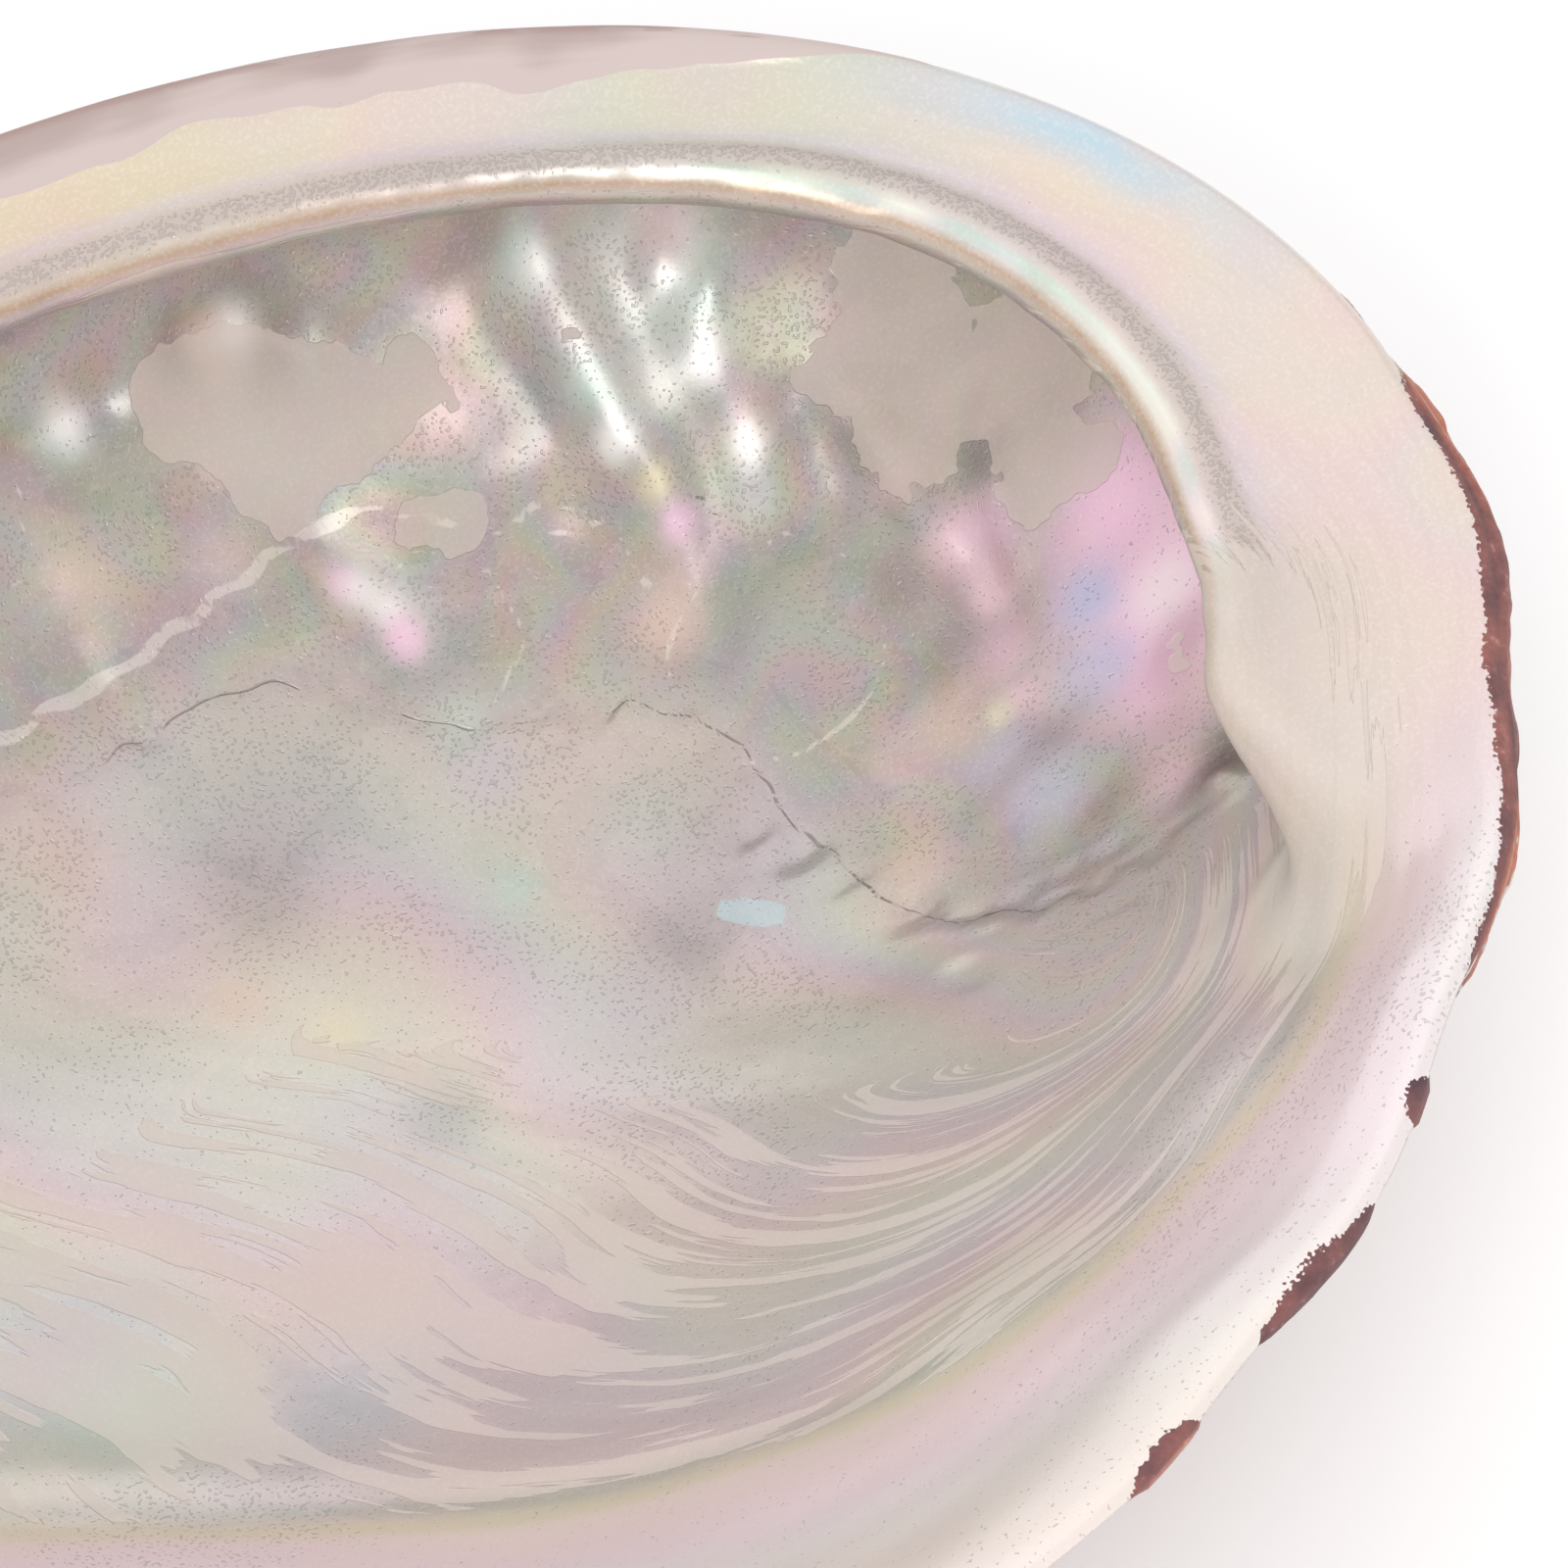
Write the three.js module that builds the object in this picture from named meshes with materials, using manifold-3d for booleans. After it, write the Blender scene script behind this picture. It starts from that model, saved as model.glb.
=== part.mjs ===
// Abalone shell, lying on its back with the opening upward.
// Millimetres, +Z up. +X is the spire end, -X the head end, +Y the shelf side, -Y the outer lip.
// One solid: an inner skin and an outer skin that meet along the rim.
import * as THREE from 'three';
import Module from 'manifold-3d';

const halfLength = 90;
const halfWidth = 69;
const rimHeight = 47;
const rimSaddle = 1.5;
const rimRoll = 0.9;
const lipScallop = 0.5;
const lipScallopCount = 18;

// The lowest point of the back, in plan, and the depth rubbed off it to make the resting spot.
const keelX = 9;
const keelY = 7;
const restDepth = 0.7;

const floorThickness = 3.6;
const wallThickness = 3.0;

// The shelf along the +Y side: widths and places round the rim are in degrees from +X.
const shelfPit = -38;
const shelfFull = -20;
const shelfFade = 105;
const shelfEnd = 166;
const shelfDrop = 2.2;
const shelfThickness = 4.8;
const cavityRoof = 11;

// The fold running round the outer lip a little inside the rim.
const foldHeight = 0.9;
const foldGap = 13;

// The spire, as a place in the flattened disc of the back.
const spireReach = 0.70;
const spireTurn = -24;
const spireHeight = 2.6;
const coilTwist = 2.5;

// The row of holes and of the older, closed ones.
const rowTurn = 160;
const rowFirst = 0.945;
const rowRatio = 0.925;
const openHoles = 4;
const closedHoles = 13;
const holeLong = 5.2;
const holeShort = 3.6;
const holeSides = 14;
const knobHeight = 1.9;
const knobWidth = 4.6;

const columns = 80;
const crowding = 0.35;
const innerRows = 30;
const outerRows = 28;

const degree = Math.PI / 180;

const mix = (a, b, share) => a + (b - a) * share;

// Eased step from 0 at "from" to 1 at "to".
function ease(value, from, to) {
  const share = Math.min(Math.max((value - from) / (to - from), 0), 1);
  return share * share * (3 - 2 * share);
}

// An angle brought to between -150 and 210 degrees, so the shelf's span has no break in it.
function turnOf(angle) {
  const turn = ((angle / degree + 150) % 360 + 360) % 360;
  return turn - 150;
}

// The rim seen from above: an ellipse, faintly scalloped on the outer lip near the spire end.
function rimPlan(angle) {
  const turn = turnOf(angle);
  const scalloped = ease(turn, -85, -60) * (1 - ease(turn, -15, 5));
  const wave = lipScallop * scalloped * Math.sin(angle * lipScallopCount);
  return [(halfLength + wave) * Math.cos(angle), (halfWidth + wave) * Math.sin(angle)];
}

const rimLevel = (angle) => rimHeight + rimSaddle * Math.cos(2 * angle);

// 1 where the back is a steep bulging wall (shelf side and spire end), 0 on the outer lip.
function wallShare(angle) {
  return 1 / (1 + Math.exp(-5 * (Math.cos(angle - 48 * degree) - 0.25)));
}

// Outline of one slice of the back, from the keel (t = 0) to the rim (t = 1): reach and height.
function backSlice(angle, t) {
  const share = wallShare(angle);
  const top = rimLevel(angle) - rimRoll;
  const lipReach = t;
  const lipRise = t ** 2.3 * (1.3 - 0.3 * t * t);
  const bulge = 0.045 * Math.sin(Math.PI * t ** 3);
  const wallReach = Math.sin(t * Math.PI / 2) ** 0.85 + bulge;
  const wallRise = 1 - Math.cos(t * Math.PI / 2) ** 0.95;
  return [mix(lipReach, wallReach, share), top * mix(lipRise, wallRise, share)];
}

// The back before its relief: a point of the unit disc carried onto the slices.
function backPoint(across, along) {
  const t = Math.min(Math.hypot(across, along), 1);
  const angle = Math.atan2(along, across);
  const [reach, height] = backSlice(angle, t);
  const [rimX, rimY] = rimPlan(angle);
  return new THREE.Vector3(mix(keelX, rimX, reach), mix(keelY, rimY, reach), height);
}

// The disc point at growth stage "stage" (0 spire, 1 rim) and ring angle "angle".
function discPoint(angle, stage) {
  const spireAcross = spireReach * Math.cos(spireTurn * degree);
  const spireAlong = spireReach * Math.sin(spireTurn * degree);
  return [mix(spireAcross, Math.cos(angle), stage), mix(spireAlong, Math.sin(angle), stage)];
}

// Outward normal of the plain back, from small steps in the disc.
function backNormal(across, along) {
  const step = 0.004;
  const size = Math.hypot(across, along);
  const hold = size > 0.99 ? 0.99 / size : 1;
  const a = across * hold;
  const b = along * hold;
  const du = backPoint(a + step, b).sub(backPoint(a - step, b));
  const dv = backPoint(a, b + step).sub(backPoint(a, b - step));
  return dv.cross(du).normalize();
}

// Ring angle at which the coil line "line" crosses growth stage "stage".
const coilAngle = (line, stage) => line + coilTwist * Math.log((stage + 0.02) / 1.02);

// Centres of the holes, oldest last.
function rowPlaces() {
  const places = [];
  for (let i = 0; i < openHoles + closedHoles; i += 1) {
    const stage = rowFirst * rowRatio ** i;
    const [across, along] = discPoint(coilAngle(rowTurn * degree, stage), stage);
    places.push({
      stage,
      centre: backPoint(across, along),
      normal: backNormal(across, along),
    });
  }
  return places;
}
const row = rowPlaces();

// Height of the relief on the back: growth folds, coil cords, the row's knobs, the spire's groove.
function relief(angle, stage, point) {
  const line = angle - coilTwist * Math.log((stage + 0.02) / 1.02);
  const edge = ease(1 - stage, 0.0, 0.06);
  const lip = 1 - wallShare(angle);
  const folds = 0.6 * edge * lip * Math.sin(2 * Math.PI * 3.5 * Math.log(stage + 0.12));
  const cords = 0.3 * edge * ease(stage, 0.1, 0.3) * Math.sin(18 * line);
  const boss = spireHeight * Math.exp(-((stage / 0.16) ** 2));
  const turn = Math.sin((line - rowTurn * degree + Math.PI) / 2);
  const groove = -1.1 * Math.exp(-((turn / 0.22) ** 2)) * (1 - ease(stage, 0.15, 0.45));
  const keelGap = Math.hypot(point.x - keelX, point.y - keelY);
  const clear = ease(keelGap, 10, 22);
  let knobs = 0;
  for (const place of row) {
    const width = knobWidth * mix(0.45, 1, place.stage);
    const gap = point.distanceTo(place.centre) / width;
    knobs += knobHeight * mix(0.4, 1, place.stage) * edge * Math.exp(-gap * gap);
  }
  return clear * (folds + cords + groove + knobs + boss);
}

// A point of the finished back.
function outerPoint(angle, stage) {
  const [across, along] = discPoint(angle, stage);
  const point = backPoint(across, along);
  return point.addScaledVector(backNormal(across, along), relief(angle, stage, point));
}

// A point of the inner wall's slice: the back's slice moved in by the wall's thickness.
function innerSlice(angle, t) {
  const [rimX, rimY] = rimPlan(angle);
  const span = Math.hypot(rimX - keelX, rimY - keelY);
  const step = 0.003;
  const low = backSlice(angle, Math.max(t - step, 0));
  const high = backSlice(angle, Math.min(t + step, 1));
  const run = (high[0] - low[0]) * span;
  const rise = high[1] - low[1];
  const size = Math.hypot(run, rise);
  const [reach, height] = backSlice(angle, t);
  const foldPlace = (span * (1 - reach) - foldGap - 12 * ease(-turnOf(angle), 45, 110)) / 5;
  const fold = foldHeight * (1 - wallShare(angle)) * Math.exp(-foldPlace * foldPlace);
  const thickness = mix(floorThickness, wallThickness, ease(t, 0.1, 0.6)) + fold;
  return [reach * span - thickness * rise / size, height + thickness * run / size];
}

// How much of a shelf there is at this place on the rim, 0 to 1.
function shelfShare(turn) {
  return ease(turn, shelfPit, shelfFull) * (1 - ease(turn, shelfFade, shelfEnd));
}

// Width of the shelf from the rim to its free edge.
function shelfWidth(turn) {
  const nearPit = 7.5 * (1 - ease(turn, -30, 32));
  const head = mix(13, 4, ease(turn, 95, 160));
  return head + nearPit;
}

// Guide points of one column of the inner skin, as reach and height in its slice.
function innerGuides(angle) {
  const turn = turnOf(angle);
  const share = shelfShare(turn);
  const [rimX, rimY] = rimPlan(angle);
  const span = Math.hypot(rimX - keelX, rimY - keelY);
  const top = rimLevel(angle);
  const width = shelfWidth(turn);
  const free = span - width;
  const wallTop = innerSlice(angle, 0.80);
  const wallStops = 8;
  const shelf = [];
  const plain = [];
  for (let i = 0; i <= wallStops; i += 1) {
    shelf.push(innerSlice(angle, 0.80 * i / wallStops));
    plain.push(innerSlice(angle, 0.62 * i / wallStops));
  }
  const under = top - shelfDrop - shelfThickness;
  shelf.push([wallTop[0] - 1.0, top - cavityRoof]);
  shelf.push([free + 0.45 * width, under - 1.2]);
  shelf.push([free + 0.12 * width, under - 0.2]);
  shelf.push([free - 1.2, top - shelfDrop - 0.5 * shelfThickness]);
  shelf.push([free + 0.6, top - shelfDrop + 0.6]);
  shelf.push([free + 0.22 * width, top - shelfDrop + 0.3]);
  shelf.push([free + 0.42 * width, top - shelfDrop - 0.5]);
  shelf.push([free + 0.75 * width, top - 1.1]);
  for (const t of [0.68, 0.74, 0.79, 0.83, 0.87, 0.9, 0.93, 0.955]) plain.push(innerSlice(angle, t));
  for (const list of [shelf, plain]) {
    list.push([span - 2.1, top - 0.35]);
    list.push([span - 0.7, top]);
    list.push([span, top - rimRoll]);
  }
  return plain.map((p, i) => [mix(p[0], shelf[i][0], share), mix(p[1], shelf[i][1], share)]);
}

// A cubic B-spline through the guides' ends: guides repeated at both ends, v from 0 to 1.
function alongGuides(guides, v) {
  const first = guides[0];
  const last = guides[guides.length - 1];
  const before = [2 * first[0] - guides[1][0], 2 * first[1] - guides[1][1]];
  const spare = guides[guides.length - 2];
  const after = [2 * last[0] - spare[0], 2 * last[1] - spare[1]];
  const line = [before, ...guides, after];
  const spans = guides.length - 1;
  const place = Math.min(v, 1) * spans;
  const cell = Math.min(Math.floor(place), spans - 1);
  const f = place - cell;
  const weights = [
    (1 - f) ** 3 / 6,
    (3 * f ** 3 - 6 * f ** 2 + 4) / 6,
    (-3 * f ** 3 + 3 * f ** 2 + 3 * f + 1) / 6,
    f ** 3 / 6,
  ];
  const out = [0, 0];
  weights.forEach((weight, i) => {
    out[0] += weight * line[cell + i][0];
    out[1] += weight * line[cell + i][1];
  });
  return out;
}

// A point of the inner skin, from column angle and place along the column.
function innerPoint(angle, guides, v) {
  const [reach, height] = alongGuides(guides, v);
  const [rimX, rimY] = rimPlan(angle);
  const span = Math.hypot(rimX - keelX, rimY - keelY);
  const share = reach / span;
  return new THREE.Vector3(mix(keelX, rimX, share), mix(keelY, rimY, share), height);
}

// Column angles, crowded together round the spire end where the shelf begins.
function columnAngles() {
  const even = Array.from({ length: columns }, (_, i) => i * 2 * Math.PI / columns);
  return even.map((angle) => angle - crowding * Math.sin(angle - spireTurn * degree));
}

// All corners: keel of the inside, its rows up to the rim, the back's rows, the spire.
function shellCorners() {
  const corners = [];
  const angles = columnAngles();
  const guides = angles.map(innerGuides);
  corners.push(innerPoint(0, guides[0], 0));
  for (let j = 1; j <= innerRows; j += 1) {
    angles.forEach((angle, i) => corners.push(innerPoint(angle, guides[i], j / innerRows)));
  }
  for (let j = 1; j < outerRows; j += 1) {
    const stage = 1 - (j / outerRows) ** 1.15;
    angles.forEach((angle) => corners.push(outerPoint(angle, stage)));
  }
  corners.push(outerPoint(0, 0));
  for (const corner of corners) corner.z = Math.max(corner.z, restDepth) - restDepth;
  return corners;
}

// Triangles between the rows, closed by a fan at each end.
function shellFaces(count) {
  const faces = [];
  const rows = innerRows + outerRows - 1;
  const at = (j, i) => 1 + j * columns + (i % columns);
  for (let i = 0; i < columns; i += 1) {
    faces.push(0, at(0, i), at(0, i + 1));
    for (let j = 0; j < rows - 1; j += 1) {
      faces.push(at(j, i), at(j + 1, i), at(j + 1, i + 1));
      faces.push(at(j, i), at(j + 1, i + 1), at(j, i + 1));
    }
    faces.push(at(rows - 1, i), count - 1, at(rows - 1, i + 1));
  }
  return faces;
}

// A tapered oval plug through the wall, its long side along the row.
function holePlug(place, next) {
  const along = next.centre.clone().sub(place.centre);
  along.addScaledVector(place.normal, -along.dot(place.normal)).normalize();
  const across = new THREE.Vector3().crossVectors(place.normal, along);
  const centre = place.centre.clone();
  centre.z -= restDepth;
  const points = [];
  for (const [depth, scale] of [[-9, 0.86], [6, 1.06]]) {
    for (let i = 0; i < holeSides; i += 1) {
      const angle = i * 2 * Math.PI / holeSides;
      points.push(centre.clone()
        .addScaledVector(place.normal, depth)
        .addScaledVector(along, 0.5 * holeLong * scale * Math.cos(angle))
        .addScaledVector(across, 0.5 * holeShort * scale * Math.sin(angle)));
    }
  }
  const faces = [];
  for (let i = 0; i < holeSides; i += 1) {
    const k = (i + 1) % holeSides;
    faces.push(i, k, holeSides + k, i, holeSides + k, holeSides + i);
    if (i > 1) faces.push(0, i, i - 1, holeSides, holeSides + i - 1, holeSides + i);
  }
  return [points, faces];
}

function solidFrom(wasm, points, faces) {
  const vertProperties = new Float32Array(points.flatMap((p) => [p.x, p.y, p.z]));
  const triVerts = new Uint32Array(faces);
  return new wasm.Manifold(new wasm.Mesh({ numProp: 3, vertProperties, triVerts }));
}

const wasm = await Module();
wasm.setup();

const corners = shellCorners();
let solid = solidFrom(wasm, corners, shellFaces(corners.length));
for (let i = 0; i < openHoles; i += 1) {
  const [points, faces] = holePlug(row[i], row[i + 1]);
  solid = solid.subtract(solidFrom(wasm, points, faces));
}

const cut = solid.getMesh();
const geometry = new THREE.BufferGeometry();
geometry.setAttribute('position', new THREE.BufferAttribute(new Float32Array(cut.vertProperties), 3));
geometry.setIndex(new THREE.BufferAttribute(new Uint32Array(cut.triVerts), 1));
geometry.computeBoundingBox();
const middle = geometry.boundingBox.getCenter(new THREE.Vector3());
geometry.translate(-middle.x, -middle.y, -geometry.boundingBox.min.z);
geometry.computeVertexNormals();

const pearl = new THREE.MeshStandardMaterial({ color: 0xd8c8c0, roughness: 0.35, metalness: 0.0 });
pearl.name = 'shell';
const shell = new THREE.Mesh(geometry, pearl);
shell.name = 'shell';

const model = new THREE.Group();
model.name = 'abalone_shell';
model.add(shell);
export default model;
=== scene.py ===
# Abalone shell on its back with the pearly bowl upward, in the same frame as the solid model.
import math
import bpy
import numpy as np
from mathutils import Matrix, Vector


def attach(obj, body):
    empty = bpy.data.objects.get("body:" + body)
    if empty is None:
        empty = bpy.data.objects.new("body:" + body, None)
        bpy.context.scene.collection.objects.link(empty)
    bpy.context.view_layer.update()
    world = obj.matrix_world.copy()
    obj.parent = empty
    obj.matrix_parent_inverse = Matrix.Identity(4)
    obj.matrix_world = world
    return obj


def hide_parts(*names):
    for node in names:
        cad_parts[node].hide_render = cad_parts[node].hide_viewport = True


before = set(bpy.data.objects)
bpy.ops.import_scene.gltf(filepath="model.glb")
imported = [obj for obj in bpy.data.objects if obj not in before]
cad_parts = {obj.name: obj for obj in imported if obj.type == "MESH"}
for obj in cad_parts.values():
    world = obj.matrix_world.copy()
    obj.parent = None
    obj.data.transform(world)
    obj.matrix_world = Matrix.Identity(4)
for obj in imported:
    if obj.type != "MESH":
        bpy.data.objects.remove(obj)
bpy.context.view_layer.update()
print("solid model loaded")

form = {
    "halfLength": 90.0,  # all lengths here are millimetres, all turns degrees
    "halfWidth": 69.0,
    "rimHeight": 47.0,
    "rimSaddle": 1.5,
    "rimRoll": 0.9,
    "lipScallop": 0.5,
    "lipScallopCount": 18,
    "keel": (9.0, 7.0),  # lowest place of the back
    "restDepth": 0.7,
    "floorThickness": 3.6,
    "wallThickness": 3.0,
    "shelfPit": -38.0,
    "shelfFull": -20.0,
    "shelfFade": 105.0,
    "shelfEnd": 166.0,
    "shelfDrop": 2.2,
    "shelfThickness": 4.8,
    "cavityRoof": 11.0,
    "foldHeight": 0.9,
    "foldGap": 13.0,
    "spireReach": 0.70,
    "spireTurn": -24.0,
    "boxShift": (0.628, 0.613),  # puts the middle of the whole shell's box over the origin
    "wallBulge": 0.045,
    "hookedTo": 0.80,  # share of the back's slice that the inner guides follow under the shelf
    "plainTo": 0.62,  # and where there is no shelf
    "shelfWide": 13.0,
    "shelfNarrow": 4.0,
    "shelfExtra": 7.5,  # more width beside the pit
}


def ease(value, low, high):
    # 0 below low, 1 above high, and a smooth S between: 3s^2 - 2s^3
    share = np.clip((value - low) / (high - low), 0.0, 1.0)
    return share * share * (3.0 - 2.0 * share)


def mix(a, b, share):
    return a + (b - a) * share


def turnOf(angle):
    # the angle in degrees, counted from -150 to 210 so that the shelf has no break in it
    return (np.degrees(angle) + 150.0) % 360.0 - 150.0


def rimPlan(angle):
    # ellipse seen from above, with a small sine added to both radii along the outer lip
    turn = turnOf(angle)
    scalloped = ease(turn, -85, -60) * (1 - ease(turn, -15, 5))
    wave = form["lipScallop"] * scalloped * np.sin(angle * form["lipScallopCount"])
    return (form["halfLength"] + wave) * np.cos(angle), (form["halfWidth"] + wave) * np.sin(angle)


def rimLevel(angle):
    return form["rimHeight"] + form["rimSaddle"] * np.cos(2 * angle)


def wallShare(angle):
    # logistic of the cosine round 48 degrees: 1 on the steep shelf side, 0 on the outer lip
    return 1 / (1 + np.exp(-5 * (np.cos(angle - math.radians(48)) - 0.25)))


def backSlice(angle, t):
    # reach (share of the way to the rim) and height of the back's slice, t from 0 keel to 1 rim
    share = wallShare(angle)
    top = rimLevel(angle) - form["rimRoll"]
    lipRise = t**2.3 * (1.3 - 0.3 * t * t)
    bulge = form["wallBulge"] * np.sin(np.pi * t**3)
    wallReach = np.sin(t * np.pi / 2) ** 0.85 + bulge
    wallRise = 1 - np.maximum(np.cos(t * np.pi / 2), 0) ** 0.95
    return mix(t, wallReach, share), top * mix(lipRise, wallRise, share)


def columnSpan(angle):
    rimX, rimY = rimPlan(angle)
    return np.hypot(rimX - form["keel"][0], rimY - form["keel"][1])


def placed(angle, reach, height):
    # a point from its column, its share of the way to the rim, and its height
    rimX, rimY = rimPlan(angle)
    x = mix(form["keel"][0], rimX, reach)
    y = mix(form["keel"][1], rimY, reach)
    return np.stack(np.broadcast_arrays(x, y, height), axis=-1)


def backPoint(across, along):
    t = np.minimum(np.hypot(across, along), 1.0)
    angle = np.arctan2(along, across)
    reach, height = backSlice(angle, t)
    return placed(angle, reach, height)


def innerSlice(angle, t):
    # the back's slice moved in square to itself by the wall's thickness, more along the lip's fold
    span = columnSpan(angle)
    step = 0.003
    low = backSlice(angle, np.maximum(t - step, 0))
    high = backSlice(angle, np.minimum(t + step, 1))
    run = (high[0] - low[0]) * span
    rise = high[1] - low[1]
    size = np.hypot(run, rise)
    reach, height = backSlice(angle, t)
    gap = form["foldGap"] + 12 * ease(-turnOf(angle), 45, 110)
    foldPlace = (span * (1 - reach) - gap) / 5
    fold = form["foldHeight"] * (1 - wallShare(angle)) * np.exp(-foldPlace**2)
    wall = mix(form["floorThickness"], form["wallThickness"], ease(t, 0.1, 0.6)) + fold
    return reach * span - wall * rise / size, height + wall * run / size


def innerGuides(angle):
    # guide points of every column, as reach and height: a plain bowl mixed with the hooked shelf
    turn = turnOf(angle)
    share = ease(turn, form["shelfPit"], form["shelfFull"])
    share = share * (1 - ease(turn, form["shelfFade"], form["shelfEnd"]))
    width = mix(form["shelfWide"], form["shelfNarrow"], ease(turn, 95, 160))
    width = width + form["shelfExtra"] * (1 - ease(turn, -30, 32))
    span = columnSpan(angle)
    top = rimLevel(angle)
    free = span - width
    drop = form["shelfDrop"]
    thick = form["shelfThickness"]
    under = top - drop - thick
    wallTop = innerSlice(angle, form["hookedTo"])[0]
    shelf = [innerSlice(angle, form["hookedTo"] * i / 8) for i in range(9)]
    plain = [innerSlice(angle, form["plainTo"] * i / 8) for i in range(9)]
    shelf += [
        (wallTop - 1.0, top - form["cavityRoof"]),
        (free + 0.45 * width, under - 1.2),
        (free + 0.12 * width, under - 0.2),
        (free - 1.2, top - drop - 0.5 * thick),
        (free + 0.6, top - drop + 0.6),
        (free + 0.22 * width, top - drop + 0.3),
        (free + 0.42 * width, top - drop - 0.5),
        (free + 0.75 * width, top - 1.1),
    ]
    plain += [innerSlice(angle, t) for t in (0.68, 0.74, 0.79, 0.83, 0.87, 0.9, 0.93, 0.955)]
    for guides in (shelf, plain):
        guides.append((span - 2.1, top - 0.35))
        guides.append((span - 0.7, top))
        guides.append((span, top - form["rimRoll"]))
    return mix(np.array(plain), np.array(shelf), share)


def alongGuides(guides, v):
    # cubic B-spline down the guides, its ends pinned by guides mirrored past them; v from 0 to 1
    line = np.concatenate([[2 * guides[0] - guides[1]], guides, [2 * guides[-1] - guides[-2]]])
    spans = len(guides) - 1
    place = np.clip(v, 0, 1) * spans
    cell = np.minimum(np.floor(place).astype(int), spans - 1)
    f = (place - cell)[:, None, None]
    weights = ((1 - f) ** 3, 3 * f**3 - 6 * f**2 + 4, -3 * f**3 + 3 * f**2 + 3 * f + 1, f**3)
    return sum(weight * line[cell + i] for i, weight in enumerate(weights)) / 6


def discPoint(angle, stage):
    # rings nested round the spire: stage 0 is the spire, stage 1 the rim
    turn = math.radians(form["spireTurn"])
    across = mix(form["spireReach"] * math.cos(turn), np.cos(angle), stage)
    along = mix(form["spireReach"] * math.sin(turn), np.sin(angle), stage)
    return across, along


def growthStage(angle, reach):
    # stage of the nested ring through a place: positive root of s^2(1-a^2) - 2s(q.a) - q^2 = 0,
    # where a is the spire and q the place measured from it; the ring angle comes with it
    spireX, spireY = discPoint(0.0, 0.0)
    gapX = reach * np.cos(angle) - spireX
    gapY = reach * np.sin(angle) - spireY
    lean = gapX * spireX + gapY * spireY
    room = 1 - spireX**2 - spireY**2
    stage = (lean + np.sqrt(lean**2 + room * (gapX**2 + gapY**2))) / room
    ringX = gapX + stage * spireX
    ringY = gapY + stage * spireY
    return stage, np.arctan2(ringY, ringX)


def normalsOf(points):
    # unit cross product of the steps along a row (which closes on itself) and down a column
    across = np.roll(points, -1, axis=1) - np.roll(points, 1, axis=1)
    down = np.gradient(points, axis=0)
    square = np.cross(across, down)
    return square / np.maximum(np.linalg.norm(square, axis=-1, keepdims=True), 1e-9)


def runDown(points):
    # distance travelled down each column, row by row
    steps = np.linalg.norm(np.diff(points, axis=0), axis=-1)
    return np.concatenate([np.zeros((1, points.shape[1])), np.cumsum(steps, axis=0)])


def ripple(points, size, seed, waves=14):
    # mean of sine waves in chance directions, each about "size" long, kept near -1 to 1
    chance = np.random.default_rng(seed)
    ways = chance.normal(size=(waves, points.shape[-1]))
    ways *= chance.uniform(0.75, 1.3, (waves, 1)) / np.linalg.norm(ways, axis=1, keepdims=True)
    starts = chance.uniform(0, 2 * math.pi, waves)
    pitch = 2 * math.pi / size
    total = sum(np.sin(points @ way * pitch + start) for way, start in zip(ways, starts))
    return total / math.sqrt(waves)


def lineGap(x, y, path):
    # signed distance in plan to a line of points, and how far along it the nearest place is
    path = np.array(path, float)
    best = np.full(np.shape(x), 1e9)
    side = np.ones(np.shape(x))
    along = np.zeros(np.shape(x))
    walked = 0.0
    for start, end in zip(path[:-1], path[1:]):
        way = end - start
        length = math.hypot(*way)
        offX = x - start[0]
        offY = y - start[1]
        share = np.clip((offX * way[0] + offY * way[1]) / length**2, 0, 1)
        gap = np.hypot(offX - share * way[0], offY - share * way[1])
        nearer = gap < best
        best = np.where(nearer, gap, best)
        side = np.where(nearer, np.sign(way[0] * offY - way[1] * offX + 1e-9), side)
        along = np.where(nearer, walked + share * length, along)
        walked += length
    return best * side, along


def smoothPath(path, steps=6):
    # Catmull-Rom curve through the points
    path = np.array(path, float)
    line = np.concatenate([[2 * path[0] - path[1]], path, [2 * path[-1] - path[-2]]])
    f = np.linspace(0, 1, steps, endpoint=False)[:, None]
    parts = []
    for a, b, c, d in zip(line[:-3], line[1:-2], line[2:-1], line[3:]):
        parts.append(0.5 * (2 * b + (c - a) * f + (2 * a - 5 * b + 4 * c - d) * f**2
                            + (3 * b - a - 3 * c + d) * f**3))
    return np.concatenate(parts + [path[-1:]])


def laid(under, over, share):
    # one colour laid over another: under + share * (over - under)
    return under + (over - under) * np.asarray(share)[..., None]


def pastel(hue, strength):
    # soft rainbow factors: 1 + strength * cos(2 pi (hue - k / 3)) for red, green, blue, k = 0, 1, 2
    wheel = np.cos(2 * np.pi * (np.asarray(hue)[..., None] - np.arange(3) / 3))
    return 1 + np.asarray(strength)[..., None] * wheel


def bell(value, middle, width, power=2):
    # 1 at the middle, falling away on both sides: exp(-|(value - middle) / width|^power)
    return np.exp(-np.abs((value - middle) / width) ** power)


def tone(red, green, blue):
    # a colour as seen on a screen, 0 to 255, turned to the light it stands for
    return np.array([((c / 255 + 0.055) / 1.055) ** 2.4 for c in (red, green, blue)])


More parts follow.
